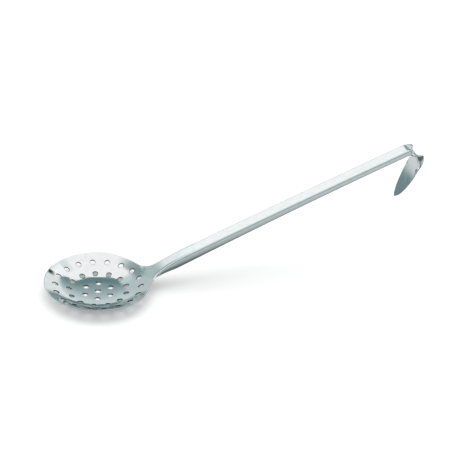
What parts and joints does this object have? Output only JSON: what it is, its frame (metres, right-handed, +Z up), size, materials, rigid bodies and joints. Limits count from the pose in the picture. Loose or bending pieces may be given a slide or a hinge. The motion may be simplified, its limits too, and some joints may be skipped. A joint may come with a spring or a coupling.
{
  "type": "kitchen skimmer",
  "caption": "Perforated shallow dish on a long rising channel handle that ends in a pointed hanging hook, for lifting food out of hot liquid.",
  "frame": {"origin": "on the underside of the dish's flat foot, 8 mm from the dish's axis towards the handle", "axes": "+X along the handle away from the dish, +Z up out of the dish, +Y to the left when looking along the handle"},
  "size_m": [0.4392, 0.1198, 0.1371],
  "materials": {
    "steel": "polished stainless sheet with a faint lengthwise grain"
  },
  "bodies": {
    "root": {"bowl": "steel", "neck": "steel", "handle": "steel", "hook": "steel"}
  },
  "joints": []
}
